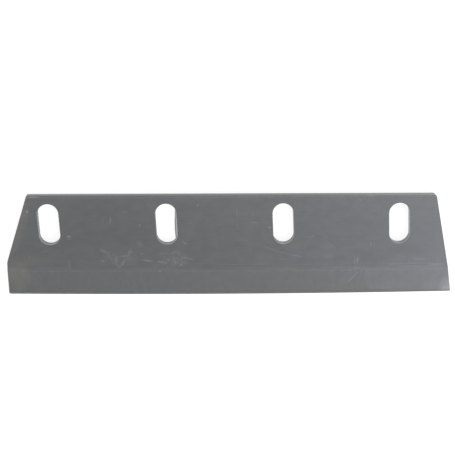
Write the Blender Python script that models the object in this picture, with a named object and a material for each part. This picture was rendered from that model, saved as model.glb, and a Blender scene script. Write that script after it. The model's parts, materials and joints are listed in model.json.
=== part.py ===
"""Chopping-drum knife of a forage harvester: one flat steel blade with a straight back, slanted bolt
slots, two differently cut ends and a crowned cutting edge.

Units are metres, +Z up. The blade lies on its seat face at z = 0, ground face up, with its back
towards +Y. The origin is under the middle of its outline.

The shape is built in the order in which the real blade is made: a rolled flat bar is blanked to its
outline, the bolt slots are punched through it, and its edge is ground along the crown.
"""
import math

import bmesh
import bpy
from mathutils import Matrix, Vector

MM = 0.001
DEG = math.pi / 180

# Rolled bar: its long back edges are round, by a radius that the thickness may limit
THICKNESS = 8.0 * MM
ROLLED_RADIUS = 1.2 * MM
LARGEST_ROLLED_SHARE = 0.45

# Outline: the crown is how far the middle of the cutting edge stands out past its two tips
EDGE_LENGTH = 400.0 * MM
BLADE_WIDTH = 94.5 * MM
CROWN_HEIGHT = 1.5 * MM

# Left end: upright for a stretch above the tip, then slanted from the shoulder to the back
LEFT_END_HEIGHT = 32.5 * MM
LEFT_END_LEAN = 1.0 * MM
LEFT_BACK_INSET = 20.5 * MM
SHOULDER_RADIUS = 12.0 * MM
LEFT_BACK_RADIUS = 0.8 * MM

# Right end: one slant from the tip to the back
RIGHT_BACK_INSET = 19.7 * MM
RIGHT_BACK_RADIUS = 2.5 * MM

TIP_RADIUS = 1.0 * MM

# Bolt slots, for M16 bolts. The end margins run along the back, from its two corners to the middles of
# the outer slots. The right one is the least that it may be, and sets how many slots there are.
SLOT_WIDTH = 18.5 * MM
SLOT_LENGTH = 37.5 * MM
SLOT_PITCH = 103.3 * MM
SLOT_SLANT = 3.0 * DEG
SLOT_BACK_MARGIN = 7.5 * MM
LEFT_SLOT_MARGIN = 18.5 * MM
RIGHT_SLOT_MARGIN = 25.0 * MM

# Ground edge: a long bevel, a short steeper honed face, and the thin land left at the edge itself
BEVEL_WIDTH = 25.5 * MM
HONE_WIDTH = 1.8 * MM
HONE_RISE = 0.8 * MM
LAND_HEIGHT = 0.6 * MM

# Steps of the round stretches
CROWN_STEPS = 24
SLOT_END_STEPS = 20
FILLET_STEPS = 4

# How far a cutter runs past the metal that it cuts
OVERRUN = 6.0 * MM
WELD_DISTANCE = 0.001 * MM

NAME = "knife_blade"
STEEL_GREY = (0.205, 0.208, 0.208, 1.0)
STEEL_METALLIC = 0.9
STEEL_ROUGHNESS = 0.45
SHARP_ANGLE = 30 * DEG

# The outline is drawn from the middle of its back, with the cutting edge towards -Y, so the centre
# of the crown's arc lies straight behind it
CROWN_RADIUS = (EDGE_LENGTH ** 2 / 4 + CROWN_HEIGHT ** 2) / (2 * CROWN_HEIGHT)
CROWN_CENTRE = Vector((0, CROWN_RADIUS - BLADE_WIDTH))
TIP_ANGLE = math.asin(EDGE_LENGTH / 2 / CROWN_RADIUS)
TIP_DEPTH = BLADE_WIDTH - CROWN_HEIGHT


def arc(centre, radius, start, end, steps):
    """Points on an arc, both ends included."""
    angles = (start + (end - start) * step / steps for step in range(steps + 1))
    return [centre + radius * Vector((math.cos(angle), math.sin(angle))) for angle in angles]


def fillet(before, corner, after, radius):
    """The arc that rounds a corner, from one tangent point to the other."""
    back = (before - corner).normalized()
    ahead = (after - corner).normalized()
    half_angle = back.angle(ahead) / 2
    centre = corner + (back + ahead).normalized() * radius / math.sin(half_angle)
    reach = radius / math.tan(half_angle)
    first = corner + back * reach - centre
    last = corner + ahead * reach - centre
    start = math.atan2(first.y, first.x)
    return arc(centre, radius, start, start - first.angle_signed(last), FILLET_STEPS)


def blank_outline():
    """The blanking die, counter-clockwise from the left tip. It stands clear of the bar's back, whose
    rolled edge stays on the blade, and its two back corners still run tangent to that edge."""
    half = EDGE_LENGTH / 2
    left_tip = Vector((-half, -TIP_DEPTH))
    right_tip = Vector((half, -TIP_DEPTH))
    right_back = Vector((half - RIGHT_BACK_INSET, 0))
    left_back = Vector((-half + LEFT_BACK_INSET, 0))
    shoulder = Vector((-half + LEFT_END_LEAN, -TIP_DEPTH + LEFT_END_HEIGHT))
    down = -math.pi / 2
    crown = arc(CROWN_CENTRE, CROWN_RADIUS, down - TIP_ANGLE, down + TIP_ANGLE, CROWN_STEPS)
    right_back_arc = fillet(right_tip, right_back, left_back, RIGHT_BACK_RADIUS)
    left_back_arc = fillet(right_back, left_back, shoulder, LEFT_BACK_RADIUS)
    return [
        *fillet(shoulder, left_tip, crown[1], TIP_RADIUS),
        *crown[1:-1],
        *fillet(crown[-2], right_tip, right_back, TIP_RADIUS),
        *right_back_arc,
        right_back_arc[-1] + Vector((0, OVERRUN)),
        left_back_arc[0] + Vector((0, OVERRUN)),
        *left_back_arc,
        *fillet(left_back, shoulder, left_tip, SHOULDER_RADIUS),
    ]


def bar_section():
    """The bar's cross-section, with x across the bar and y through its thickness. It runs on past
    the cutting edge, where the die trims it."""
    radius = min(ROLLED_RADIUS, LARGEST_ROLLED_SHARE * THICKNESS)
    front = -BLADE_WIDTH - OVERRUN
    quarter = math.pi / 2
    return [
        Vector((front, 0)),
        *arc(Vector((-radius, radius)), radius, -quarter, 0, FILLET_STEPS),
        *arc(Vector((-radius, THICKNESS - radius)), radius, 0, quarter, FILLET_STEPS),
        Vector((front, THICKNESS)),
    ]


def slot_outline():
    """An upright slot about its own middle: two half circles joined by straight sides."""
    radius = SLOT_WIDTH / 2
    reach = Vector((0, SLOT_LENGTH / 2 - radius))
    return [
        *arc(reach, radius, 0, math.pi, SLOT_END_STEPS),
        *arc(-reach, radius, math.pi, 2 * math.pi, SLOT_END_STEPS),
    ]


def slot_places():
    """Where the slots' middles lie on the outline, in a row along the back."""
    radius = SLOT_WIDTH / 2
    depth = SLOT_BACK_MARGIN + radius + (SLOT_LENGTH / 2 - radius) * math.cos(SLOT_SLANT)
    first = -EDGE_LENGTH / 2 + LEFT_BACK_INSET + LEFT_SLOT_MARGIN
    furthest = EDGE_LENGTH / 2 - RIGHT_BACK_INSET - RIGHT_SLOT_MARGIN
    count = 1 + int((furthest - first) / SLOT_PITCH)
    return [Vector((first + index * SLOT_PITCH, -depth, 0)) for index in range(count)]


def grinding_section():
    """What the wheel takes off, as distance from the crown's centre and height: down the long bevel,
    then down the honed face and on past the land."""
    hone_top = LAND_HEIGHT + HONE_RISE
    bevel_slope = (THICKNESS - hone_top) / (BEVEL_WIDTH - HONE_WIDTH)
    hone_slope = HONE_RISE / HONE_WIDTH
    above = THICKNESS + OVERRUN
    return [
        (CROWN_RADIUS - BEVEL_WIDTH - OVERRUN / bevel_slope, above),
        (CROWN_RADIUS - HONE_WIDTH, hone_top),
        (CROWN_RADIUS + OVERRUN, LAND_HEIGHT - OVERRUN * hone_slope),
        (CROWN_RADIUS + OVERRUN, above),
    ]


def outline_middle():
    """Middle of the finished outline, in the outline's own coordinates."""
    sides = [point.x for point in blank_outline()]
    return Vector(((min(sides) + max(sides)) / 2, -BLADE_WIDTH / 2, 0))


def new_collection(name):
    collection = bpy.data.collections.new(name)
    bpy.context.scene.collection.children.link(collection)
    return collection


def add_object(name, data, collection):
    added = bpy.data.objects.new(name, data)
    collection.objects.link(added)
    return added


def evaluated_mesh(source, name):
    """A mesh of an object with its modifiers, or of a filled curve."""
    bpy.context.view_layer.update()
    mesh = bpy.data.meshes.new_from_object(source.evaluated_get(bpy.context.evaluated_depsgraph_get()))
    mesh.name = name
    return mesh


def extruded(name, outline, depth, collection):
    """A closed solid from a flat outline, half its depth to each side of the outline's plane."""
    curve = bpy.data.curves.new(name, "CURVE")
    curve.dimensions = "2D"
    curve.fill_mode = "BOTH"
    curve.extrude = depth / 2
    spline = curve.splines.new("POLY")
    spline.points.add(len(outline) - 1)
    for point, place in zip(spline.points, outline):
        point.co = (place.x, place.y, 0, 1)
    spline.use_cyclic_u = True
    drawn = add_object(name, curve, collection)
    mesh = evaluated_mesh(drawn, name)
    bpy.data.objects.remove(drawn)
    bpy.data.curves.remove(curve)

    work = bmesh.new()
    work.from_mesh(mesh)
    bmesh.ops.remove_doubles(work, verts=work.verts, dist=WELD_DISTANCE)
    bmesh.ops.recalc_face_normals(work, faces=work.faces)
    work.to_mesh(mesh)
    work.free()
    return add_object(name, mesh, collection)


def turned(name, section, angle, steps, collection):
    """A solid swept by a section that turns about its origin, half the angle to each side of -Y."""
    work = bmesh.new()
    face = work.faces.new([work.verts.new((0, -radius, height)) for radius, height in section])
    bmesh.ops.rotate(work, verts=work.verts, cent=(0, 0, 0), matrix=Matrix.Rotation(-angle / 2, 3, "Z"))
    swept = [*work.verts, *work.edges, face]
    bmesh.ops.spin(work, geom=swept, cent=(0, 0, 0), axis=(0, 0, 1), angle=angle, steps=steps)
    bmesh.ops.recalc_face_normals(work, faces=work.faces)
    mesh = bpy.data.meshes.new(name)
    work.to_mesh(mesh)
    work.free()
    return add_object(name, mesh, collection)


def blanking_die(collection, origin):
    die = extruded("blanking_die", blank_outline(), THICKNESS + 2 * OVERRUN, collection)
    die.location = origin + Vector((0, 0, THICKNESS / 2))
    return die


def slot_punches(collection, origin):
    punches = []
    for number, place in enumerate(slot_places(), start=1):
        punch = extruded(f"slot_punch_{number}", slot_outline(), THICKNESS + 2 * OVERRUN, collection)
        punch.location = origin + place + Vector((0, 0, THICKNESS / 2))
        punch.rotation_euler.z = SLOT_SLANT
        punches.append(punch)
    return punches


def grinding_path(collection, origin):
    """The wheel's path, one and a half crown steps longer than the edge at each end, so that its
    facets meet between the crown's own corners."""
    steps = CROWN_STEPS + 3
    angle = 2 * TIP_ANGLE * steps / CROWN_STEPS
    path = turned("grinding_path", grinding_section(), angle, steps, collection)
    path.location = origin + CROWN_CENTRE.to_3d()
    return path


def cut(blade, cutter, operation="DIFFERENCE"):
    """Adds a Boolean. Its cutter shows as wire and is left out of renders."""
    modifier = blade.modifiers.new(cutter.name, "BOOLEAN")
    modifier.operation = operation
    modifier.solver = "EXACT"
    modifier.object = cutter
    cutter.display_type = "WIRE"
    cutter.hide_render = True


def apply_cuts(blade):
    """Makes the cuts final, and shades the round stretches smooth between the real edges."""
    mesh = evaluated_mesh(blade, NAME)
    blade.modifiers.clear()
    blade.data = mesh
    mesh.shade_smooth()
    mesh.set_sharp_from_angle(angle=SHARP_ANGLE)


def ground_steel():
    material = bpy.data.materials.new("ground_steel")
    material.use_nodes = True
    shader = material.node_tree.nodes["Principled BSDF"]
    shader.inputs["Base Color"].default_value = STEEL_GREY
    shader.inputs["Metallic"].default_value = STEEL_METALLIC
    shader.inputs["Roughness"].default_value = STEEL_ROUGHNESS
    return material


def build_blade():
    parts = new_collection("silage_knife")
    cutters = new_collection("silage_knife_cutters")
    origin = -outline_middle()

    blade = extruded(NAME, bar_section(), EDGE_LENGTH + 2 * OVERRUN, parts)
    blade.location = origin
    blade.rotation_euler = (math.pi / 2, 0, math.pi / 2)
    blade.data.materials.append(ground_steel())

    cut(blade, blanking_die(cutters, origin), "INTERSECT")
    for punch in slot_punches(cutters, origin):
        cut(blade, punch)
    cut(blade, grinding_path(cutters, origin))
    apply_cuts(blade)


for old in list(bpy.data.objects):
    bpy.data.objects.remove(old)
build_blade()
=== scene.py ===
"""Looks of a forage harvester's silage knife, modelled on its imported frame.

The file is laid out as an add-on: its sizes and colours are scene properties, the blade and the studio
are operators, and a panel in the sidebar lists them. Run as a script, it calls the operators in order.

Everything is in metres. The blade lies on z = 0 with its ground face up, its back towards +Y and its
cutting edge towards -Y.
"""

import json
import math
from contextlib import contextmanager

import bmesh
import bpy
from bpy.props import FloatProperty, FloatVectorProperty, PointerProperty
from mathutils import Matrix, Vector


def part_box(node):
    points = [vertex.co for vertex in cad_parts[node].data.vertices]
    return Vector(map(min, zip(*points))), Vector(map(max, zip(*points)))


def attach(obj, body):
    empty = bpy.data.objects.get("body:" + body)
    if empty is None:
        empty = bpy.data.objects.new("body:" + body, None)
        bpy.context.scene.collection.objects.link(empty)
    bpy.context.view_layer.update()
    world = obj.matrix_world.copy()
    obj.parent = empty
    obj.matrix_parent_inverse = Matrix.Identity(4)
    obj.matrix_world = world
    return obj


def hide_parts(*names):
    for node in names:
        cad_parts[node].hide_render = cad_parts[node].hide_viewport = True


bl_info = {
    "name": "Silage Knife",
    "version": (1, 0, 0),
    "blender": (4, 5, 0),
    "location": "3D View > Sidebar > Silage Knife",
    "description": "Models the chopping knife of a forage harvester on its packed frame",
    "category": "Add Mesh",
}

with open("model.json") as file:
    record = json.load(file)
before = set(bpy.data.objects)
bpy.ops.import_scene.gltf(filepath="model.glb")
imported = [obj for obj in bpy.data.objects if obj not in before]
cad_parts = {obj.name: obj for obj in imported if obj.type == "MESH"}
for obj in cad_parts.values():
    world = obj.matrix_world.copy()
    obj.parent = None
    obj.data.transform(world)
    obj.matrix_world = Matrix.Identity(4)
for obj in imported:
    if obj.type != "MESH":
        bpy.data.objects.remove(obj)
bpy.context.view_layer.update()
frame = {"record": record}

MM = 0.001
DEG = math.pi / 180

BODY = "root"
NODE = "knife_blade"
PIECE = "chopping_blade"

LOW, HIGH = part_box(NODE)


def slot_middles():
    """The middles of the bolt slots, from the openings that the frame states for them."""
    boxes = [
        opening["box_m"]
        for opening in frame["record"]["physics"]["openings"]
        if opening["name"].endswith("_middle")
    ]
    return [(Vector(low) + Vector(high)).xy / 2 for low, high in boxes]


SLOTS = slot_middles()
# The second slot, whose right wall a worn punch left leaning in
TORN_SLOT = 1

# Steps of the round stretches, each one short enough that it looks round close up
CROWN_STEPS = 24
SLOT_STEPS = 96
TONGUE_STEPS = 192
ROLLED_STEPS = 8
SHOULDER_STEPS = 10
CORNER_STEPS = 6
EDGE_STEPS = 4

# How far a cutter runs past the metal that it cuts
OVERRUN = 6 * MM
# Steps that a cutter along the crown runs on for, half of them past each tip
SPARE_CROWN_STEPS = 3
# How far apart two things may lie and still count as touching
TOUCHING = 0.01 * MM

# A corner of the metal is sharper than this
SHARP_CORNER = 60 * DEG
# Each step of a round stretch turns by less than this
SMOOTH_TURN = 35 * DEG

# Faces are told apart by how far up or down their normals point: flat, ground and honed ones by more
# than this, and walls by less
FLAT_LOOK = 0.999
GROUND_LOOK = 0.95
HONED_LOOK = 0.85
WALL_LOOK = 0.3
# How far to the side a face may look that still runs along the bar
SIDE_LOOK = 0.01

# Materials of the blade, in the order of its material slots
ROLLED, GROUND, HONED, CUT, WORN_HIGHLIGHTED = range(5)

# Marks of handling on the upper side, with painted highlights among them. Each one is a soft oval: the x
# and y of its middle, its turn in degrees, its length and width, and how strongly it shows. Lengths are in
# millimetres.
SPECKS = (
    (-179.1, 33.3, 0, 2.8, 3.6, 0.94),
    (-143.6, 10.2, 0, 5.4, 2.4, 0.72),
    (-143.3, 7.9, 0, 5.2, 1.8, 0.40),
    (-178.8, -9.0, 0, 1.9, 2.6, 0.27),
    (-114.3, -12.9, -14, 6.3, 3.9, 0.30),
    (-108.5, -9.2, -11, 5.6, 3.2, 0.22),
    (-80.0, -6.2, -5, 6.8, 3.3, 0.18),
    (-63.9, -22.9, 0, 3.4, 2.2, 0.38),
    (-62.2, -6.4, -7, 7.7, 3.6, 0.15),
    (-45.2, -16.6, 25, 8.0, 3.8, 0.30),
    (-41.0, 3.3, 0, 3.4, 1.9, 0.38),
    (-30.1, 38.3, 0, 1.8, 2.6, 0.54),
    (33.3, 17.7, 0, 4.4, 3.0, 0.62),
    (71.8, 9.6, 0, 3.4, 1.8, 0.28),
    (112.8, 42.7, 0, 1.8, 2.6, 0.41),
)
LENGTHWISE_RUBS = (
    (-172.9, 46.2, 0, 15.0, 1.8, 0.9),
    (-164.7, -3.4, 9, 9.0, 1.3, 0.21),
    (-94.7, -8.1, 1, 13.5, 3.2, 0.34),
    (-74.7, -12.5, -2, 13.5, 2.7, 0.43),
    (-62.2, -13.8, -8, 12.5, 2.6, 0.38),
    (-42.0, -9.9, -1, 9.0, 2.9, 0.38),
    (-37.2, -11.0, -18, 11.0, 2.6, 0.28),
    (20.0, 22.4, 0, 11.5, 1.5, 0.40),
    (2.7, 12.7, 0, 14.0, 1.3, 0.09),
    (122.4, 46.6, 0, 9.5, 1.5, 0.71),
    (144.6, -12.3, -4, 19.0, 2.2, 0.08),
    (168.7, -12.4, -1, 22.0, 2.3, 0.14),
    (185.1, -12.8, 0, 5.0, 3.6, 0.12),
    (147.5, -16.8, -3, 28.0, 1.9, 0.13),
    (143.1, -17.2, 0, 7.0, 2.1, 0.20),
    (167.4, -16.4, 0, 28.0, 1.7, 0.09),
    (183.3, -16.8, 0, 21.5, 1.7, 0.20),
)
CROSSWISE_RUBS = (
    (-144.0, -16.7, -82, 15.5, 1.4, 0.40),
    (-107.0, 25.1, -96, 9.5, 2.0, 0.34),
    (-113.0, 25.3, -92, 10.5, 1.3, 0.16),
    (-102.8, -11.9, -84, 12.8, 3.5, 0.35),
    (-81.1, 20.0, -87, 4.9, 3.3, 0.24),
    (-52.2, -14.0, -91, 16.0, 1.4, 0.16),
    (-49.9, -14.3, -85, 8.0, 2.2, 0.38),
    (4.4, 32.0, -90, 12.5, 1.4, 0.22),
    (5.0, 19.0, -90, 6.0, 1.4, 0.22),
    (18.2, 30.7, -90, 19.5, 1.4, 0.15),
    (110.3, -13.3, -88, 10.0, 1.4, 0.32),
    (112.2, -13.3, -88, 10.0, 1.4, 0.25),
    (113.0, -12.9, -103, 12.0, 1.6, 0.30),
    (124.1, 1.7, -87, 7.0, 1.4, 0.24),
    (127.0, 1.7, -87, 7.0, 1.4, 0.17),
)
SLANTED_RUBS = (
    (-113.1, -3.6, -30, 12.0, 4.0, 0.26),
    (-101.0, -17.3, -50, 8.5, 3.2, 0.26),
    (-97.0, -15.2, 54, 15.0, 4.2, 0.37),
    (-91.0, -5.6, 66, 14.0, 3.9, 0.31),
    (-90.2, -11.1, 24, 12.0, 3.4, 0.18),
    (-82.0, 3.8, 40, 7.0, 3.3, 0.18),
    (-80.5, 2.1, 42, 6.5, 3.3, 0.20),
    (-51.5, -5.0, 34, 7.5, 3.1, 0.20),
    (-47.2, -5.6, -39, 7.5, 3.6, 0.20),
    (-44.9, -11.0, 48, 5.8, 2.8, 0.26),
    (-42.1, 3.9, -44, 7.5, 2.6, 0.24),
    (32.0, -0.8, -21, 27.5, 1.6, 0.11),
    (43.5, -5.2, -14, 27.5, 2.4, 0.10),
    (58.0, -8.8, -11, 15.0, 2.2, 0.19),
    (65.4, 9.8, -2, 16.0, 1.6, 0.10),
    (108.7, -31.2, 53, 20.5, 2.8, 0.26),
    (122.6, -27.5, 76, 18.0, 6.1, 0.10),
)
# Rub marks, and painted highlight: the marks on the bevel towards the right tip and the bright corner at
# that tip are painted highlights, the others are rubs
RUBS_AND_PAINTED_HIGHLIGHTS = (
    (-94.1, 32.3, 0, 6.6, 2.6, 0.22),
    (87.2, 0.0, 0, 18.0, 8.0, 0.07),
    (87.0, -9.4, 0, 15.0, 6.0, 0.07),
    (-46.4, -4.3, 0, 9.5, 2.5, 0.04),
    (112.1, -20.5, 0, 12.0, 2.7, 0.20),
    (105.5, -37.4, 0, 2.4, 1.2, 0.12),
    (-98.0, -11.0, 0, 52.0, 19.0, 0.10),
    (-93.0, -10.5, 30, 18.0, 12.0, 0.14),
    (-51.0, -13.0, 0, 40.0, 17.0, 0.08),
    (196.3, -45.5, 80, 24.0, 16.0, 1.0),
    (195.5, -41.5, 86, 32.0, 20.0, 0.38),
    (141.0, -39.0, 0, 64.0, 15.0, 0.06),
    (182.0, -40.0, 0, 26.0, 17.0, 0.08),
    (187.0, -45.6, 1, 30.0, 5.5, 0.25),
    (197.0, -34.0, -78, 34.0, 12.0, 0.06),
)
# Light lines along the crest: a painted highlight where the crest catches the light, with grinding marks
# beside it
CREST_PAINTED_HIGHLIGHTS_AND_LINES = (
    (-65.0, -20.9, -0.3, 120.0, 1.2, 0.12),
    (-158.7, -19.0, -0.7, 50.0, 2.4, 0.10),
    (60.0, -20.6, 0.3, 150.0, 1.1, 0.12),
    (165.0, -19.6, 0.7, 70.0, 1.5, 0.13),
    (184.1, -17.4, 2, 20.0, 3.4, 0.16),
)
# The light marks, painted highlights among them
LIGHT_MARKS_AND_PAINTED_HIGHLIGHTS = SPECKS + LENGTHWISE_RUBS + CROSSWISE_RUBS + SLANTED_RUBS + RUBS_AND_PAINTED_HIGHLIGHTS + CREST_PAINTED_HIGHLIGHTS_AND_LINES
DARK_MARKS = (
    (-112.0, 36.0, 0, 110.0, 45.0, 0.04),
    (122.0, -9.0, 0, 52.0, 20.0, 0.05),
    (96.0, -13.0, 0, 28.0, 14.0, 0.06),
    (158.0, -3.0, 0, 48.0, 15.0, 0.05),
    (66.5, 10.4, -7, 14.0, 1.0, 0.18),
    (78.0, 8.8, -9, 13.0, 1.0, 0.18),
    (89.3, 3.5, -37, 16.0, 1.0, 0.14),
    (113.7, -23.1, 0, 4.3, 2.6, 0.14),
)
# Areas that are scuffed all over, in the same measures
SCUFFED_AREAS = (
    (-104.0, -10.0, -20, 36.0, 18.0, 0.30),
    (-91.0, -8.0, 20, 30.0, 14.0, 0.22),
    (-51.0, -12.0, 0, 42.0, 19.0, 0.42),
    (-109.0, 25.0, 0, 20.0, 12.0, 0.14),
    (118.0, -24.0, 0, 34.0, 16.0, 0.16),
    (165.0, -14.0, 0, 66.0, 12.0, 0.10),
    (12.0, 26.0, 0, 34.0, 20.0, 0.10),
)
# Where the blade is filmed brown, rust sits in the second slot and bolts have rubbed the slots' walls
FILM = (
    (-191.0, -24.0, 0, 36.0, 50.0, 1.0),
    (-188.5, 16.0, 72, 90.0, 18.0, 0.8),
    (-177.0, -13.0, 6, 64.0, 26.0, 0.3),
)
RUST = ((-50.0, 17.5, 93, 26.0, 8.0, 0.8),)
BOLT_RUBS = (
    (158.3, 21.0, 93, 36.0, 4.0, 0.5),
    (-47.6, 23.0, 93, 72.0, 12.0, 1.0),
    (44.0, 3.2, 0, 14.0, 9.0, 0.40),
    (145.6, 3.4, 0, 14.0, 9.0, 0.50),
)


def size(name, description, default):
    """A length that a user would change."""
    return FloatProperty(
        name=name, description=description, default=default, min=0, unit="LENGTH", precision=5
    )


def angle(name, description, default):
    return FloatProperty(name=name, description=description, default=default, subtype="ANGLE")


def point(name, description, default):
    return FloatVectorProperty(
        name=name, description=description, default=default, size=3, unit="LENGTH"
    )


def colour(name, description, default):
    return FloatVectorProperty(
        name=name, description=description, default=default, min=0, max=1, size=3, subtype="COLOR"
    )


class SilageKnifeSizes(bpy.types.PropertyGroup):
    """Sizes of the blade."""

    thickness: size("Thickness", "Thickness of the rolled bar", HIGH.z - LOW.z)
    blade_width: size("Width", "From the back to the middle of the cutting edge", HIGH.y - LOW.y)
    edge_length: size("Edge Length", "Cutting edge, from tip to tip", 400 * MM)
    crown_height: size("Crown", "How far the middle of the edge stands out past its tips", 1.5 * MM)
    rolled_radius: size("Rolled Radius", "Round of the bar's long back edges", 1.2 * MM)
    left_end_height: size("Left End Height", "Upright stretch of the left end", 32.5 * MM)
    left_end_lean: size("Left End Lean", "How far that stretch leans in at the shoulder", 1 * MM)
    left_back_inset: size("Left Back Inset", "From the left tip to the back's left corner", 20.5 * MM)
    right_back_inset: size("Right Back Inset", "From the right tip to the back's right corner", 19.7 * MM)
    shoulder_radius: size("Shoulder Radius", "Round between the two stretches of the left end", 12 * MM)
    left_back_radius: size("Left Corner Radius", "Round of the back's left corner", 0.8 * MM)
    right_back_radius: size("Right Corner Radius", "Round of the back's right corner", 2.5 * MM)
    tip_radius: size("Tip Radius", "Round of the two tips", 1 * MM)
    slot_width: size("Slot Width", "Width of a bolt slot", 18.5 * MM)
    slot_length: size("Slot Length", "Length of a bolt slot", 37.5 * MM)
    slot_margin: size("Slot Margin", "From the back's left corner to the first slot's middle", 18.5 * MM)
    slot_slant: angle("Slot Slant", "Turn of the slots from upright", 3 * DEG)
    bevel_width: size("Bevel Width", "Width of the ground edge, as seen from above", 25.5 * MM)
    hone_width: size("Hone Width", "Width of the honed face, as seen from above", 1.8 * MM)
    hone_rise: size("Hone Rise", "Height of the honed face", 0.8 * MM)
    land_height: size("Land Height", "Height of the flat left at the cutting edge", 0.6 * MM)
    rim_round: size("Slot Rim Round", "Metal drawn in round a slot's upper rim by its punch", 0.35 * MM)
    tongue_depth: size("Tongue Depth", "How far the second slot's right wall leans in", 2.4 * MM)
    tongue_length: size("Tongue Length", "Length of the lean, were the slot that long", 60 * MM)
    tongue_drop: size("Tongue Drop", "From the slot's middle to the lean's, towards the edge", 9 * MM)
    edge_round: size("Edge Round", "Wear of the outline and of the slots' lower rims", 0.15 * MM)


class SilageKnifeFinish(bpy.types.PropertyGroup):
    """Colours of the blade."""

    rolled_colour: colour("Rolled Faces", "Dull satin faces of the rolled bar", (0.2035, 0.2095, 0.2105))
    ground_colour: colour("Bevel", "Finely ground bevel", (0.216, 0.2235, 0.2225))
    honed_colour: colour("Honed Face", "Narrow honed face at the edge", (0.235, 0.239, 0.241))
    cut_colour: colour("Cut Walls", "Punched and sheared walls", (0.275, 0.277, 0.279))
    # The worn edges' colour is partly painted highlight along the rims and edges
    worn_and_highlight_colour: colour("Worn Edges", "Metal rubbed bright along the edges", (0.27, 0.272, 0.275))
    # The light marks take this colour, painted highlights among them
    mark_and_highlight_colour: colour("Marks", "Rub marks, scratches and specks", (0.42, 0.425, 0.43))
    film_colour: colour("Film", "Thin brownish film at the left end", (0.262, 0.259, 0.242))
    rust_colour: colour("Rust", "Rust low on the second slot's leaning wall", (0.215, 0.155, 0.145))


class SilageKnifeStudio(bpy.types.PropertyGroup):
    """The camera, the light and the floor."""

    target: point("Target", "Point that the camera looks at", (-0.00353, 0.01547, 0))
    distance: size("Distance", "From the camera to its target", 0.9514)
    tilt: angle("Tilt", "Turn of the camera towards the blade's back", 0.297)
    swing: angle("Swing", "Turn of the camera towards the blade's right end", -0.033)
    roll: angle("Roll", "Turn of the picture", 0.005)
    lens: FloatProperty(name="Lens", description="Focal length in millimetres", default=84.5, min=1)
    softbox_place: point("Softbox", "Middle of the softbox, which looks at the blade", (1.3, -1.0, 1.4))
    softbox_width: size("Softbox Width", "Side of the square softbox", 1.2)
    softbox_power: FloatProperty(
        name="Softbox Power", description="Power of the softbox in watts", default=16.5, min=0
    )
    softbox_colour: colour("Softbox Colour", "Cool light of the softbox", (0.875, 0.86, 1))
    world_colour: colour("Surroundings", "Pale surroundings", (0.62, 0.62, 0.62))
    floor_width: size("Floor Width", "Side of the square floor", 12)
    floor_colour: colour("Floor", "Pale floor", (0.5, 0.5, 0.5))
    floor_glow: FloatProperty(
        name="Floor Glow",
        description="Light that the floor gives off, as a light table does",
        default=0.77,
        min=0,
    )


# Modelling helpers


def activate(piece):
    """Selects one piece alone and makes it the active one."""
    bpy.ops.object.select_all(action="DESELECT")
    bpy.context.view_layer.objects.active = piece
    piece.select_set(True)


@contextmanager
def editing(piece):
    """Edit mode on one piece alone."""
    activate(piece)
    bpy.ops.object.mode_set(mode="EDIT")
    yield
    bpy.ops.object.mode_set(mode="OBJECT")


def pick(piece, kind, test):
    """Selects the vertices, edges or faces that pass a test, and nothing else."""
    bpy.ops.mesh.select_mode(type=kind)
    bpy.ops.mesh.select_all(action="DESELECT")
    work = bmesh.from_edit_mesh(piece.data)
    work.normal_update()
    elements = {"VERT": work.verts, "EDGE": work.edges, "FACE": work.faces}[kind]
    found = [element for element in elements if test(element)]
    if not found:
        raise RuntimeError(f"{piece.name} has nothing of kind {kind} to pick")
    for element in found:
        element.select_set(True)
    work.select_flush_mode()
    bmesh.update_edit_mesh(piece.data)


def middle_of(edge):
    return (edge.verts[0].co + edge.verts[1].co) / 2


def rise_of(edge):
    """How far apart in height an edge's two ends are."""
    return abs(edge.verts[0].co.z - edge.verts[1].co.z)


def lies_at(edge, axis, value):
    """Whether both ends of an edge lie at one value along an axis."""
    return all(abs(getattr(vertex.co, axis) - value) < TOUCHING for vertex in edge.verts)


def apply_place(piece):
    """Moves a piece's place, turn and scale into its mesh."""
    activate(piece)
    bpy.ops.object.transform_apply(location=True, rotation=True, scale=True)


def add_block(name, low, high):
    """A box between two corners."""
    low, high = Vector(low), Vector(high)
    bpy.ops.mesh.primitive_cube_add(size=1, location=(low + high) / 2, scale=high - low)
    block = bpy.context.object
    block.name = block.data.name = name
    apply_place(block)
    return block


def combine(piece, other, operation):
    """Cuts a piece with another one, or keeps what they share, and deletes the other one."""
    activate(piece)
    modifier = piece.modifiers.new(other.name, "BOOLEAN")
    modifier.operation = operation
    modifier.solver = "EXACT"
    modifier.object = other
    bpy.ops.object.modifier_apply(modifier=modifier.name)
    bpy.data.objects.remove(other)


# The blade's outline in the frame


class Outline:
    """Corners of the blade's outline before they are rounded, the arc of its crown, and how far in from
    the cutting edge its ground faces reach."""

    def __init__(self, sizes):
        edge_y = HIGH.y - sizes.blade_width
        tip_y = edge_y + sizes.crown_height
        self.back_y = HIGH.y
        left_back_x = SLOTS[0].x - sizes.slot_margin
        left_tip_x = left_back_x - sizes.left_back_inset
        right_tip_x = left_tip_x + sizes.edge_length
        self.left_back = Vector((left_back_x, self.back_y))
        self.left_tip = Vector((left_tip_x, tip_y))
        self.right_tip = Vector((right_tip_x, tip_y))
        self.right_back = Vector((right_tip_x - sizes.right_back_inset, self.back_y))
        shoulder_x = left_tip_x + sizes.left_end_lean
        self.shoulder = Vector((shoulder_x, tip_y + sizes.left_end_height))
        half = sizes.edge_length / 2
        self.crown_radius = (half ** 2 + sizes.crown_height ** 2) / (2 * sizes.crown_height)
        self.crown_centre = Vector((left_tip_x + half, edge_y + self.crown_radius, 0))
        self.tip_angle = math.asin(half / self.crown_radius)
        self.crest_inset = sizes.bevel_width
        self.hone_inset = sizes.hone_width

    def inset(self, place):
        """How far a place lies in from the cutting edge."""
        return self.crown_radius - (place.xy - self.crown_centre.xy).length


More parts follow.
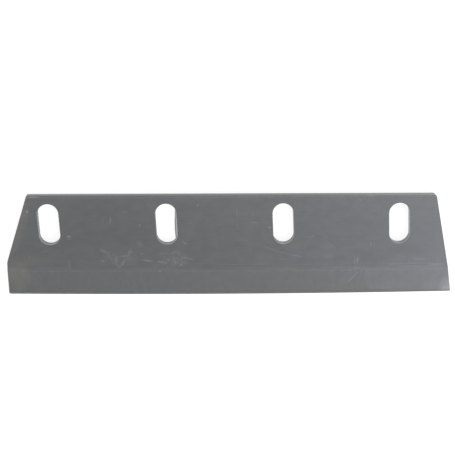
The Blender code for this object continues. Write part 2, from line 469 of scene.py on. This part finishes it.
def turn_at(before, corner, after):
    """How far the outline turns at a corner."""
    return math.pi - (before - corner).angle(after - corner)


def round_corner(piece, corners, radius, steps):
    """Rounds an upright edge. The three corners are the one before it, its own and the one after it."""
    before, corner, after = corners

    def stands_there(edge):
        return rise_of(edge) > OVERRUN and (middle_of(edge).xy - corner).length < TOUCHING

    with editing(piece):
        pick(piece, "EDGE", stands_there)
        reach = radius * math.tan(turn_at(before, corner, after) / 2)
        bpy.ops.mesh.bevel(offset=reach, segments=steps, affect="EDGES", clamp_overlap=False)


def trim(piece, start, end):
    """Cuts a piece off upright along a line, and drops what lies to the left of it."""
    along = end - start
    with editing(piece):
        bpy.ops.mesh.select_all(action="SELECT")
        bpy.ops.mesh.bisect(
            plane_co=(start.x, start.y, 0),
            plane_no=(-along.y, along.x, 0),
            use_fill=True,
            clear_outer=True,
        )


def crown_cutter(name, outline, section):
    """A cutter that turns about the crown's centre, from right to left, and runs on past both tips. Its
    section is four corners, each one a distance from that centre and a height."""
    steps = CROWN_STEPS + SPARE_CROWN_STEPS
    sweep = 2 * outline.tip_angle / CROWN_STEPS * steps
    start = Matrix.Rotation(sweep / 2, 3, "Z")
    bpy.ops.mesh.primitive_plane_add(size=1)
    cutter = bpy.context.object
    cutter.name = cutter.data.name = name
    for face in cutter.data.polygons:
        for vertex, (radius, height) in zip(face.vertices, section):
            corner = outline.crown_centre + start @ Vector((0, -radius, height))
            cutter.data.vertices[vertex].co = corner
    with editing(cutter):
        bpy.ops.mesh.select_all(action="SELECT")
        bpy.ops.mesh.spin(steps=steps, angle=sweep, center=outline.crown_centre, axis=(0, 0, 1))
        bpy.ops.mesh.select_all(action="SELECT")
        bpy.ops.mesh.normals_make_consistent(inside=False)
    return cutter


# Steps of making the blade


def rolled_bar(sizes, outline):
    """The flat bar, longer and wider than the blade, with its two back edges rolled round."""
    low = (outline.left_tip.x - OVERRUN, LOW.y - OVERRUN, 0)
    high = (outline.right_tip.x + OVERRUN, outline.back_y, sizes.thickness)
    bar = add_block("rolled_bar", low, high)

    def runs_along_back(edge):
        return lies_at(edge, "y", outline.back_y) and rise_of(edge) < TOUCHING

    with editing(bar):
        pick(bar, "EDGE", runs_along_back)
        bpy.ops.mesh.bevel(offset=sizes.rolled_radius, segments=ROLLED_STEPS, affect="EDGES")
    return bar


def blanking_die(sizes, outline):
    """The blade's outline as a tall block. It runs on past the bar's back, whose rolled edges stay."""
    low = (outline.left_tip.x - OVERRUN, LOW.y - OVERRUN, -OVERRUN)
    high = (outline.right_tip.x + OVERRUN, outline.back_y, sizes.thickness + OVERRUN)
    die = add_block("blanking_die", low, high)
    trim(die, outline.left_tip, outline.shoulder)
    trim(die, outline.shoulder, outline.left_back)
    trim(die, outline.right_back, outline.right_tip)
    below = -2 * OVERRUN
    above = sizes.thickness + 2 * OVERRUN
    beyond = outline.crown_radius + 3 * OVERRUN
    combine(die, crown_cutter("crown", outline, [
        (outline.crown_radius, below),
        (beyond, below),
        (beyond, above),
        (outline.crown_radius, above),
    ]), "DIFFERENCE")

    left_tip, shoulder, left_back = outline.left_tip, outline.shoulder, outline.left_back
    right_back, right_tip = outline.right_back, outline.right_tip
    round_corner(die, (right_tip, left_tip, shoulder), sizes.tip_radius, CORNER_STEPS)
    round_corner(die, (left_tip, shoulder, left_back), sizes.shoulder_radius, SHOULDER_STEPS)
    round_corner(die, (shoulder, left_back, right_back), sizes.left_back_radius, CORNER_STEPS)
    round_corner(die, (left_back, right_back, right_tip), sizes.right_back_radius, CORNER_STEPS)
    round_corner(die, (right_back, right_tip, left_tip), sizes.tip_radius, CORNER_STEPS)

    def is_back(face):
        return face.normal.y > FLAT_LOOK and face.calc_area() > sizes.thickness ** 2

    with editing(die):
        pick(die, "FACE", is_back)
        bpy.ops.mesh.extrude_region_move(TRANSFORM_OT_translate={"value": (0, OVERRUN, 0)})
    return die


def slot_punch(sizes):
    """An upright punch about the origin: a round bar, drawn apart across its middle."""
    half_step = math.pi / SLOT_STEPS
    bpy.ops.mesh.primitive_cylinder_add(
        vertices=SLOT_STEPS,
        radius=sizes.slot_width / 2 / math.cos(half_step),
        depth=sizes.thickness + 2 * OVERRUN,
        location=(0, 0, sizes.thickness / 2),
        rotation=(0, 0, half_step),
    )
    punch = bpy.context.object
    punch.name = punch.data.name = "slot_punch"
    apply_place(punch)
    reach = (sizes.slot_length - sizes.slot_width) / 2
    with editing(punch):
        for side in (-1, 1):
            pick(punch, "VERT", lambda vertex: vertex.co.y * side > 0)
            bpy.ops.transform.translate(value=(0, side * reach, 0))
    punch.rotation_euler.z = sizes.slot_slant
    apply_place(punch)
    return punch


def leaning_tongue(sizes):
    """Metal that the worn punch leaves standing in a slot about the origin: a wide cone, whose side comes
    out of the slot's right wall at its upper rim or a little below and leans in towards the seat face."""
    depth = sizes.tongue_depth
    radius = (sizes.tongue_length ** 2 / 4 + depth ** 2) / (2 * depth)
    lean = depth / sizes.thickness
    slant = Matrix.Rotation(sizes.slot_slant, 3, "Z")
    middle = slant @ Vector((sizes.slot_width / 2 + radius - depth, -sizes.tongue_drop, 0))
    middle.z = sizes.thickness / 2
    bpy.ops.mesh.primitive_cone_add(
        vertices=TONGUE_STEPS,
        radius1=radius + lean * OVERRUN,
        radius2=radius - depth - lean * OVERRUN,
        depth=sizes.thickness + 2 * OVERRUN,
        location=middle,
    )
    tongue = bpy.context.object
    tongue.name = tongue.data.name = "leaning_tongue"
    apply_place(tongue)
    return tongue


def punch_slots(blade, sizes):
    """Punches the slots with copies of one punch. One of them leaves a leaning wall."""
    punch = slot_punch(sizes)
    for number, middle in enumerate(SLOTS):
        copy = bpy.data.objects.new("slot_punch_copy", punch.data.copy())
        bpy.context.collection.objects.link(copy)
        if number == TORN_SLOT:
            combine(copy, leaning_tongue(sizes), "DIFFERENCE")
        copy.location = (middle.x, middle.y, 0)
        apply_place(copy)
        combine(blade, copy, "DIFFERENCE")
    bpy.data.objects.remove(punch)


def grind_edge(blade, sizes, outline):
    """Grinds the long bevel and hones the edge, down to the land."""
    hone_top = sizes.land_height + sizes.hone_rise
    bevel_slope = (sizes.thickness - hone_top) / (sizes.bevel_width - sizes.hone_width)
    hone_slope = sizes.hone_rise / sizes.hone_width
    above = sizes.thickness + OVERRUN
    beyond = outline.crown_radius + OVERRUN
    combine(blade, crown_cutter("grinding_path", outline, [
        (outline.crown_radius - sizes.bevel_width - OVERRUN / bevel_slope, above),
        (outline.crown_radius - sizes.hone_width, hone_top),
        (beyond, sizes.land_height - OVERRUN * hone_slope),
        (beyond, above),
    ]), "DIFFERENCE")


def corner_angle(edge):
    """How sharp an edge is: the angle between the directions that its two faces look in."""
    if len(edge.link_faces) != 2:
        return 0
    return edge.link_faces[0].normal.angle(edge.link_faces[1].normal, 0)


def near_slot(place, sizes):
    """Whether a place is at a slot's rim."""
    reach = sizes.slot_length / 2 + sizes.rim_round
    return any((place.xy - middle).length < reach for middle in SLOTS)


def soften_edges(blade, sizes, outline):
    """Draws in the slots' upper rims, and wears their lower rims and the edges of the blade's two ends a
    little round. The back's corners are round already, and the cutting edge stays sharp."""
    off_back_y = outline.back_y - sizes.rolled_radius - sizes.right_back_radius

    def is_sharp_rim(edge, height):
        on_face = lies_at(edge, "z", height)
        return on_face and corner_angle(edge) > SHARP_CORNER and near_slot(middle_of(edge), sizes)

    def is_upper_rim(edge):
        return is_sharp_rim(edge, sizes.thickness)

    def is_lower_rim(edge):
        return is_sharp_rim(edge, 0)

    def is_end_edge(edge):
        level = rise_of(edge) < edge.calc_length() / 2
        off_back = all(vertex.co.y < off_back_y for vertex in edge.verts)
        off_edge = all(outline.inset(vertex.co) > TOUCHING for vertex in edge.verts)
        off_slots = not near_slot(middle_of(edge), sizes)
        return level and off_back and off_edge and off_slots and corner_angle(edge) > SHARP_CORNER

    with editing(blade):
        for test, width in (
            (is_upper_rim, sizes.rim_round),
            (is_lower_rim, sizes.edge_round),
            (is_end_edge, sizes.edge_round),
        ):
            pick(blade, "EDGE", test)
            bpy.ops.mesh.bevel(offset=width, segments=EDGE_STEPS, affect="EDGES", clamp_overlap=False)


def finish_mesh(blade):
    """Shades the round stretches smooth, and keeps the big faces flat up to their worn edges. The ground
    and honed faces have sharp outlines."""
    activate(blade)
    bpy.ops.object.shade_smooth_by_angle(angle=SMOOTH_TURN)

    def outlines_grinding(edge):
        kinds = {face.material_index for face in edge.link_faces}
        return len(kinds) > 1 and kinds & {GROUND, HONED}

    with editing(blade):
        pick(blade, "EDGE", outlines_grinding)
        bpy.ops.mesh.mark_sharp()
    blade.modifiers.new("flat_faces", "WEIGHTED_NORMAL").keep_sharp = True
    bpy.ops.object.modifier_apply(modifier="flat_faces")


# Materials

# How near its middle a mark has its full strength, where 1 is the middle itself and 0 is its outline
FULL_MARK = 0.8


def join(tree, value, socket):
    """Joins a node's output to a socket, or sets the socket to a number, a vector or a colour."""
    if isinstance(value, bpy.types.NodeSocket):
        tree.links.new(value, socket)
    elif socket.type == "RGBA":
        socket.default_value = (*value, 1)
    else:
        socket.default_value = value


def add_node(tree, kind, settings=None, **inputs):
    """Adds a node. An input's name is written with an underscore for each space."""
    node = tree.nodes.new(kind)
    for name, value in (settings or {}).items():
        setattr(node, name, value)
    for name, value in inputs.items():
        join(tree, value, node.inputs[name.replace("_", " ")])
    return node


def calculate(tree, operation, first, second=0.0):
    node = add_node(tree, "ShaderNodeMath", {"operation": operation})
    join(tree, first, node.inputs[0])
    join(tree, second, node.inputs[1])
    return node.outputs["Value"]


def spread(tree, value, low, high, to_low, to_high):
    """Maps a range of a value smoothly to another range."""
    node = add_node(
        tree, "ShaderNodeMapRange", {"interpolation_type": "SMOOTHSTEP"},
        Value=value, From_Min=low, From_Max=high, To_Min=to_low, To_Max=to_high,
    )
    return node.outputs["Result"]


def blend(tree, factor, first, second):
    """A colour between two others."""
    node = add_node(tree, "ShaderNodeMix", {"data_type": "RGBA"})
    join(tree, factor, node.inputs[0])
    join(tree, first, node.inputs[6])
    join(tree, second, node.inputs[7])
    return node.outputs[2]


def product(tree, first, *others):
    """A number multiplied by others."""
    result = first
    for factor in others:
        result = calculate(tree, "MULTIPLY", result, factor)
    return result


def brighten(tree, tone, *factors):
    """A colour multiplied by numbers."""
    node = add_node(tree, "ShaderNodeVectorMath", {"operation": "SCALE"}, Scale=product(tree, *factors))
    join(tree, tone, node.inputs[0])
    return node.outputs["Vector"]


def noise(tree, place, scale, stretch=(1, 1, 1), detail=3.0, roughness=0.5):
    """Noise about 0.5, on a place that is stretched first. The scale is in grains per metre."""
    stretched = add_node(tree, "ShaderNodeMapping", Vector=place, Scale=stretch)
    node = add_node(
        tree, "ShaderNodeTexNoise",
        Vector=stretched.outputs["Vector"], Scale=scale, Detail=detail, Roughness=roughness,
    )
    return node.outputs["Fac"]


def vary(tree, grain, low, high, reach=0.15):
    """Turns noise, most of which lies within a reach of 0.5, into a value between two others."""
    return spread(tree, grain, 0.5 - reach, 0.5 + reach, low, high)


def hairlines(tree, place, turn, share):
    """Fine straight scratches at a turn in degrees, broken up along their length. A larger share gives
    more of them."""
    mapping = add_node(tree, "ShaderNodeMapping", Vector=place, Rotation=(0, 0, turn * DEG))
    turned = mapping.outputs["Vector"]
    lines = noise(tree, turned, stretch=(0.03, 1, 1), scale=1400, detail=2, roughness=0.7)
    gaps = noise(tree, turned, stretch=(0.4, 1, 1), scale=90, detail=1)
    fine = spread(tree, lines, 1 - share, 1 - share + 0.08, 0, 1)
    return product(tree, fine, spread(tree, gaps, 0.5, 0.62, 0, 1))


def object_place(tree):
    return tree.nodes.new("ShaderNodeTexCoord").outputs["Object"]


def height_of(tree, place):
    return add_node(tree, "ShaderNodeSeparateXYZ", Vector=place).outputs["Z"]


def above_seat(tree, place, strength):
    """A strength that holds above the seat face and is 0 on it."""
    return spread(tree, height_of(tree, place), 0.5 * MM, 1 * MM, 0, strength)


def along_edge(tree, outline):
    """A place whose y is how far it lies in from the crowned cutting edge, and that distance."""
    apart = add_node(tree, "ShaderNodeSeparateXYZ", Vector=object_place(tree))
    x, y, z = apart.outputs
    flat = add_node(tree, "ShaderNodeCombineXYZ", X=x, Y=y)
    reach = add_node(tree, "ShaderNodeVectorMath", {"operation": "DISTANCE"})
    join(tree, flat.outputs["Vector"], reach.inputs[0])
    join(tree, outline.crown_centre, reach.inputs[1])
    inset = calculate(tree, "SUBTRACT", outline.crown_radius, reach.outputs["Value"])
    place = add_node(tree, "ShaderNodeCombineXYZ", X=x, Y=inset, Z=z)
    return place.outputs["Vector"], inset


def line_along(tree, distance, middle, reach, factor):
    """A soft line at one distance from an edge: the factor at its middle, and 1 beyond its reach."""
    apart = calculate(tree, "ABSOLUTE", calculate(tree, "SUBTRACT", distance, middle))
    return spread(tree, apart, 0, reach, factor, 1)


def unsteady(tree, place, reach, scale):
    """A place moved about a little, so that what is laid on it gets an uneven outline."""
    wander = add_node(tree, "ShaderNodeTexNoise", Vector=place, Scale=scale, Detail=2)
    centred = add_node(tree, "ShaderNodeVectorMath", {"operation": "SUBTRACT"})
    join(tree, wander.outputs["Color"], centred.inputs[0])
    join(tree, (0.5, 0.5, 0.5), centred.inputs[1])
    moved = add_node(tree, "ShaderNodeVectorMath", {"operation": "MULTIPLY_ADD"})
    join(tree, centred.outputs["Vector"], moved.inputs[0])
    join(tree, (2 * reach, 2 * reach, 0), moved.inputs[1])
    join(tree, place, moved.inputs[2])
    return moved.outputs["Vector"]


def strongest_of(tree, place, marks):
    """How strongly the strongest of many soft oval marks shows. Each one has its full strength in its
    middle and fades towards its outline."""
    strongest = 0.0
    for x, y, turn, length, width, strength in marks:
        oval = add_node(
            tree, "ShaderNodeMapping", {"vector_type": "TEXTURE"},
            Vector=place,
            Location=(x * MM, y * MM, 0),
            Rotation=(0, 0, turn * DEG),
            Scale=(length / 2 * MM, width / 2 * MM, 1),
        )
        ball = add_node(
            tree, "ShaderNodeTexGradient", {"gradient_type": "SPHERICAL"}, Vector=oval.outputs["Vector"]
        )
        mark = spread(tree, ball.outputs["Fac"], 0, FULL_MARK, 0, strength)
        strongest = calculate(tree, "MAXIMUM", strongest, mark)
    return strongest


def handling_marks_and_highlights():
    """A node group that gives the light and the dark marks of the upper side. The light ones take in
    painted highlights along the crest and on the bevel towards the right tip.
    """
    group = bpy.data.node_groups.new("handling_marks_and_highlights", "ShaderNodeTree")
    place = object_place(group)
    uneven = unsteady(group, place, reach=0.35 * MM, scale=400)
    patchy = noise(group, place, scale=900)
    patchy = spread(group, patchy, 0.3, 0.65, 0.55, 1.15)
    shown = product(group, patchy, above_seat(group, place, strength=1))
    ends = group.nodes.new("NodeGroupOutput")
    scuffs = noise(group, uneven, scale=380, detail=4, roughness=0.7)
    scuffs = spread(group, scuffs, 0.48, 0.66, 0, 1)
    scuffed = product(group, strongest_of(group, uneven, SCUFFED_AREAS), scuffs)
    # The light marks take in painted highlights
    light = calculate(group, "MAXIMUM", strongest_of(group, uneven, LIGHT_MARKS_AND_PAINTED_HIGHLIGHTS), scuffed)
    dark = strongest_of(group, uneven, DARK_MARKS)
    for name, strength in (("Light", light), ("Dark", dark)):
        group.interface.new_socket(name, in_out="OUTPUT", socket_type="NodeSocketFloat")
        join(group, product(group, strength, shown), ends.inputs[name])
    return group


def handled(tree, tone, factors, marks, finish):
    """A colour with its shading factors and the handling marks, and how bright the light marks make it,
    painted highlights among them.
    """
    used = add_node(tree, "ShaderNodeGroup", {"node_tree": marks})
    clean = calculate(tree, "SUBTRACT", 1, used.outputs["Dark"])
    shaded = brighten(tree, tone, clean, *factors)
    rubbed = used.outputs["Light"]
    return blend(tree, rubbed, shaded, finish.mark_and_highlight_colour), rubbed


def filmed(tree, tone, finish):
    """A colour under the thin brownish film of the upper side's left end."""
    place = object_place(tree)
    film = strongest_of(tree, unsteady(tree, place, reach=3 * MM, scale=110), FILM)
    film = product(tree, film, above_seat(tree, place, strength=0.8))
    return blend(tree, film, tone, finish.film_colour)


def smoothed(tree, roughness, rubbed, gain=0.15):
    """A roughness that is less where the surface is rubbed."""
    return calculate(tree, "SUBTRACT", roughness, product(tree, rubbed, gain))


def start_material(name):
    """A bare steel surface. Returns the material, its tree and its shader."""
    material = bpy.data.materials.new(name)
    material.use_nodes = True
    shader = material.node_tree.nodes["Principled BSDF"]
    shader.inputs["Metallic"].default_value = 1
    return material, material.node_tree, shader


def finish_material(tree, shader, tone, roughness, height, depth):
    """Joins a surface's colour, roughness and relief to its shader. The depth is the relief's."""
    relief = add_node(tree, "ShaderNodeBump", Height=height, Strength=0.5, Distance=depth)
    join(tree, tone, shader.inputs["Base Color"])
    join(tree, roughness, shader.inputs["Roughness"])
    join(tree, relief.outputs["Normal"], shader.inputs["Normal"])


def rolled_steel(finish, outline, marks):
    """The bar's own faces: dull satin steel with a faint mottle, fine streaks along the rolling, hairline
    scratches, the marks of handling and a brownish film at the left end. Painted light makes them lighter
    towards the back, and a painted highlight runs beside the crest. The back's wall has painted shade but
    for its right end, which is painted a little lighter. Its upper rim has a painted highlight that grows
    towards the right, and a painted light strip beside it on the left."""
    material, tree, shader = start_material("rolled_steel")
    place, inset = along_edge(tree, outline)
    x, y, z = add_node(tree, "ShaderNodeSeparateXYZ", Vector=object_place(tree)).outputs
    mottle = noise(tree, place, stretch=(0.6, 1, 1), scale=160, detail=5, roughness=0.6)
    clouds = noise(tree, place, stretch=(0.5, 1, 1), scale=22, detail=2)
    streaks = noise(tree, place, stretch=(0.04, 1, 1), scale=700, detail=3, roughness=0.7)
    grain = noise(tree, place, scale=2600, detail=2)
    lengthwise = hairlines(tree, place, turn=4, share=0.36)
    crosswise = hairlines(tree, place, turn=83, share=0.34)
    scratches = calculate(tree, "MAXIMUM", lengthwise, crosswise)

    near_crest = spread(tree, inset, 26 * MM, 38 * MM, 0.035, 0.012)
    streaky = product(tree, vary(tree, streaks, -1, 1), near_crest)
    # Painted shade on the back's wall, turning to painted light at its right end
    on_back = spread(tree, y, outline.back_y - 1 * MM, outline.back_y - 0.3 * MM, 0, 1)
    back_painted_shade_and_light = spread(tree, x, 60 * MM, 160 * MM, -0.15, 0.06)
    # Painted highlight on the back's upper rim, growing towards the right, and a painted light strip
    # beside it on the left
    rim_painted_highlight = spread(tree, x, -160 * MM, 220 * MM, 1.03, 1.46)
    upper_rim_painted_highlight = spread(tree, z, 6 * MM, 7 * MM, 1, rim_painted_highlight)
    beside_rim_painted_light = spread(tree, x, 0, 110 * MM, 1.13, 1)
    factors = (
        vary(tree, mottle, 0.965, 1.035, reach=0.2),
        vary(tree, clouds, 0.985, 1.015),
        # Painted light: lighter towards the back
        spread(tree, inset, 45 * MM, 100 * MM, 0.98, 1.065),
        vary(tree, grain, 0.95, 1.05, reach=0.2),
        calculate(tree, "ADD", streaky, 1),
        line_along(tree, inset, outline.crest_inset + 3.2 * MM, reach=0.9 * MM, factor=0.965),
        # Painted highlight beside the crest
        line_along(tree, inset, outline.crest_inset + 1 * MM, reach=3 * MM, factor=1.025),
        # Painted shade on the back's wall, and painted highlights on its upper rim and beside it
        calculate(tree, "ADD", product(tree, on_back, back_painted_shade_and_light), 1),
        line_along(tree, y, outline.back_y - 0.5 * MM, reach=1.3 * MM, factor=upper_rim_painted_highlight),
        line_along(tree, y, outline.back_y - 1.3 * MM, reach=1.3 * MM, factor=beside_rim_painted_light),
    )
    tone = filmed(tree, finish.rolled_colour, finish)
    tone = blend(tree, product(tree, scratches, 0.1), tone, finish.mark_and_highlight_colour)
    tone, rubbed = handled(tree, tone, factors, marks, finish)

    rubbed = calculate(tree, "MAXIMUM", rubbed, product(tree, scratches, 0.3))
    roughness = smoothed(tree, vary(tree, mottle, 0.42, 0.48, reach=0.2), rubbed)
    height = calculate(tree, "ADD", product(tree, streaks, 0.5), grain)
    height = calculate(tree, "SUBTRACT", height, scratches)
    finish_material(tree, shader, tone, roughness, height, depth=0.004 * MM)
    return material


def ground_steel(finish, outline, marks):
    """The bevel: fine lines across it, from the grinding wheel, a painted highlight strip along its crest
    and a dark line above the honed face, which fades towards the right."""
    material, tree, shader = start_material("ground_steel")
    place, inset = along_edge(tree, outline)
    fine = noise(tree, place, stretch=(1, 0.02, 1), scale=1100, detail=3, roughness=0.65)
    broad = noise(tree, place, stretch=(1, 0.05, 1), scale=260, detail=2)
    mottle = noise(tree, place, scale=160, detail=4, roughness=0.6)
    patches = noise(tree, place, stretch=(1, 0, 0), scale=14, detail=1)
    x = add_node(tree, "ShaderNodeSeparateXYZ", Vector=place).outputs["X"]

    dark_line = spread(tree, x, 120 * MM, 175 * MM, 0.88, 1)
    lines = calculate(tree, "ADD", vary(tree, fine, -0.5, 0.5), vary(tree, broad, -0.5, 0.5))
    lines = product(tree, lines, spread(tree, patches, 0.45, 0.6, 0.015, 0.05))
    factors = (
        vary(tree, mottle, 0.98, 1.02, reach=0.2),
        calculate(tree, "ADD", lines, 1),
        line_along(tree, inset, outline.hone_inset + 1.1 * MM, reach=0.9 * MM, factor=dark_line),
        # Painted highlight along the crest
        line_along(tree, inset, outline.crest_inset - 0.8 * MM, reach=2 * MM, factor=1.065),
    )
    tone = filmed(tree, finish.ground_colour, finish)
    tone, rubbed = handled(tree, tone, factors, marks, finish)

    roughness = smoothed(tree, vary(tree, fine, 0.38, 0.46), rubbed)
    height = calculate(tree, "ADD", fine, product(tree, broad, 0.5))
    finish_material(tree, shader, tone, roughness, height, depth=0.006 * MM)
    return material


def honed_steel(finish, outline, marks):
    """The honed face: smoother than the bevel and brighter towards its top, with finer lines and small
    dull spots."""
    material, tree, shader = start_material("honed_steel")
    place, inset = along_edge(tree, outline)
    fine = noise(tree, place, stretch=(1, 0.05, 1), scale=2400, detail=2, roughness=0.7)
    spots = noise(tree, place, stretch=(0.5, 1, 1), scale=420, detail=3)
    factors = (
        vary(tree, spots, 0.93, 1.07),
        spread(tree, inset, 0.4 * MM, 1.6 * MM, 0.97, 1.12),
    )
    tone, rubbed = handled(tree, finish.honed_colour, factors, marks, finish)
    roughness = smoothed(tree, vary(tree, fine, 0.30, 0.38), rubbed, gain=0.1)
    finish_material(tree, shader, tone, roughness, fine, depth=0.003 * MM)
    return material


def cut_steel(finish):
    """Punched and sheared walls: upright lines in a smooth upper third, and a torn, duller break below.
    Bolts have rubbed them bright in places, and a little rust sits low in the second slot."""
    material, tree, shader = start_material("cut_steel")
    place = object_place(tree)
    height = height_of(tree, place)
    lines = noise(tree, place, stretch=(1, 1, 0.05), scale=1300, detail=3, roughness=0.7)
    torn = noise(tree, place, stretch=(1, 1, 0.6), scale=1500, detail=4, roughness=0.65)
    wander = noise(tree, place, stretch=(1, 1, 0), scale=180)
    wander = vary(tree, wander, -0.8 * MM, 0.8 * MM, reach=0.2)
    broken = spread(tree, calculate(tree, "ADD", height, wander), 4.8 * MM, 5.6 * MM, 1, 0)

    smooth_tone = brighten(tree, finish.cut_colour, vary(tree, lines, 0.92, 1.08))
    torn_tone = brighten(tree, finish.cut_colour, vary(tree, torn, 0.86, 1.14))
    tone = blend(tree, broken, smooth_tone, torn_tone)
    tone = blend(tree, strongest_of(tree, place, BOLT_RUBS), tone, finish.mark_and_highlight_colour)
    rust = strongest_of(tree, unsteady(tree, place, reach=0.8 * MM, scale=300), RUST)
    rust = product(tree, rust, spread(tree, height, 1.5 * MM, 4 * MM, 0.9, 0))
    tone = blend(tree, rust, tone, finish.rust_colour)

    roughness = spread(tree, broken, 0, 1, 0.4, 0.58)
    roughness = calculate(tree, "ADD", roughness, product(tree, rust, 0.2))
    relief = calculate(tree, "ADD", product(tree, broken, torn), product(tree, lines, 0.4))
    finish_material(tree, shader, tone, roughness, relief, depth=0.05 * MM)
    return material


def worn_highlighted_steel(finish):
    """The rims and edges: rubbed smoother, and brighter in an uneven way, partly worn bright and partly
    painted highlight.
    """
    material, tree, shader = start_material("worn_highlighted_steel")
    place = object_place(tree)
    wear = noise(tree, place, scale=350, detail=4, roughness=0.65)
    tone = blend(tree, vary(tree, wear, 0, 1), finish.rolled_colour, finish.worn_and_highlight_colour)
    roughness = vary(tree, wear, 0.46, 0.34)
    finish_material(tree, shader, tone, roughness, wear, depth=0.01 * MM)
    return material


def material_of(face, sizes, outline):
    """Which of the blade's materials a face has, by where it looks and where it lies."""
    look = abs(face.normal.z)
    along_bar = abs(face.normal.x) < SIDE_LOOK
    on_back = face.center.y > outline.back_y - sizes.rolled_radius
    if look > FLAT_LOOK or (on_back and along_bar):
        return ROLLED
    inset = outline.inset(face.center)
    if look > HONED_LOOK and inset < sizes.hone_width and along_bar:
        return HONED
    if look > GROUND_LOOK and inset < sizes.bevel_width and along_bar:
        return GROUND
    if look < WALL_LOOK:
        return CUT
    return WORN_HIGHLIGHTED


# The studio


def add_floor(studio):
    bpy.ops.mesh.primitive_plane_add(size=studio.floor_width)
    floor = bpy.context.object
    floor.name = floor.data.name = "floor"
    material = bpy.data.materials.new("pale_floor")
    material.use_nodes = True
    shader = material.node_tree.nodes["Principled BSDF"]
    shader.inputs["Base Color"].default_value = (*studio.floor_colour, 1)
    shader.inputs["Roughness"].default_value = 0.8
    shader.inputs["Specular IOR Level"].default_value = 0
    shader.inputs["Emission Color"].default_value = (1, 1, 1, 1)
    shader.inputs["Emission Strength"].default_value = studio.floor_glow
    floor.data.materials.append(material)


def set_surroundings(studio):
    world = bpy.data.worlds.new("pale_surroundings")
    world.use_nodes = True
    world.node_tree.nodes["Background"].inputs["Color"].default_value = (*studio.world_colour, 1)
    bpy.context.scene.world = world


def add_softbox(studio):
    """A large square light that looks at the blade."""
    lamp = bpy.data.lights.new("right_softbox", "AREA")
    lamp.shape = "SQUARE"
    lamp.size = studio.softbox_width
    lamp.energy = studio.softbox_power
    lamp.color = studio.softbox_colour
    softbox = bpy.data.objects.new("right_softbox", lamp)
    bpy.context.scene.collection.objects.link(softbox)
    softbox.location = studio.softbox_place
    softbox.rotation_euler = (-softbox.location).to_track_quat("-Z", "Y").to_euler()


def add_camera(studio):
    """Above the blade, a little towards its back and its left end."""
    camera = bpy.data.objects.new("camera", bpy.data.cameras.new("camera"))
    bpy.context.scene.collection.objects.link(camera)
    camera.data.lens = studio.lens
    camera.rotation_mode = "ZXY"
    camera.rotation_euler = (-studio.tilt, studio.swing, studio.roll)
    away = camera.rotation_euler.to_matrix() @ Vector((0, 0, studio.distance))
    camera.location = Vector(studio.target) + away
    bpy.context.scene.camera = camera


# The add-on


class SILAGE_OT_blade(bpy.types.Operator):
    """Makes the blade from a rolled bar: blanked, punched, ground, honed and a little worn"""

    bl_idname = "silage_knife.blade"
    bl_label = "Chopping Blade"
    bl_options = {"REGISTER", "UNDO"}

    def execute(self, context):
        sizes = context.scene.silage_knife_sizes
        finish = context.scene.silage_knife_finish
        outline = Outline(sizes)
        blade = rolled_bar(sizes, outline)
        combine(blade, blanking_die(sizes, outline), "INTERSECT")
        punch_slots(blade, sizes)
        grind_edge(blade, sizes, outline)
        soften_edges(blade, sizes, outline)
        blade.name = blade.data.name = PIECE

        marks = handling_marks_and_highlights()
        blade.data.materials.clear()
        for material in (
            rolled_steel(finish, outline, marks),
            ground_steel(finish, outline, marks),
            honed_steel(finish, outline, marks),
            cut_steel(finish),
            worn_highlighted_steel(finish),
        ):
            blade.data.materials.append(material)
        for face in blade.data.polygons:
            face.material_index = material_of(face, sizes, outline)
        finish_mesh(blade)

        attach(blade, BODY)
        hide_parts(NODE)
        return {"FINISHED"}


class SILAGE_OT_stage(bpy.types.Operator):
    """Sets up the pale floor, the soft studio light and the camera above the blade"""

    bl_idname = "silage_knife.stage"
    bl_label = "Studio"
    bl_options = {"REGISTER", "UNDO"}

    def execute(self, context):
        studio = context.scene.silage_knife_studio
        add_floor(studio)
        set_surroundings(studio)
        add_softbox(studio)
        add_camera(studio)
        context.scene.view_settings.view_transform = "Standard"
        return {"FINISHED"}


class SILAGE_PT_panel(bpy.types.Panel):
    """Lists the pieces and the studio, with their sizes and colours"""

    bl_idname = "SILAGE_PT_panel"
    bl_label = "Silage Knife"
    bl_space_type = "VIEW_3D"
    bl_region_type = "UI"
    bl_category = "Silage Knife"

    def draw(self, context):
        for operator, groups in (
            (SILAGE_OT_blade, ("silage_knife_sizes", "silage_knife_finish")),
            (SILAGE_OT_stage, ("silage_knife_studio",)),
        ):
            box = self.layout.box()
            box.operator(operator.bl_idname)
            for group in groups:
                settings = getattr(context.scene, group)
                for name in settings.__annotations__:
                    box.prop(settings, name)


GROUPS = {
    "silage_knife_sizes": SilageKnifeSizes,
    "silage_knife_finish": SilageKnifeFinish,
    "silage_knife_studio": SilageKnifeStudio,
}
CLASSES = (*GROUPS.values(), SILAGE_OT_blade, SILAGE_OT_stage, SILAGE_PT_panel)


def register():
    for cls in CLASSES:
        bpy.utils.register_class(cls)
    for name, group in GROUPS.items():
        setattr(bpy.types.Scene, name, PointerProperty(type=group))


def unregister():
    for name in GROUPS:
        delattr(bpy.types.Scene, name)
    for cls in reversed(CLASSES):
        bpy.utils.unregister_class(cls)


def main():
    register()
    bpy.ops.silage_knife.blade()
    bpy.ops.silage_knife.stage()


if __name__ == "__main__":
    main()
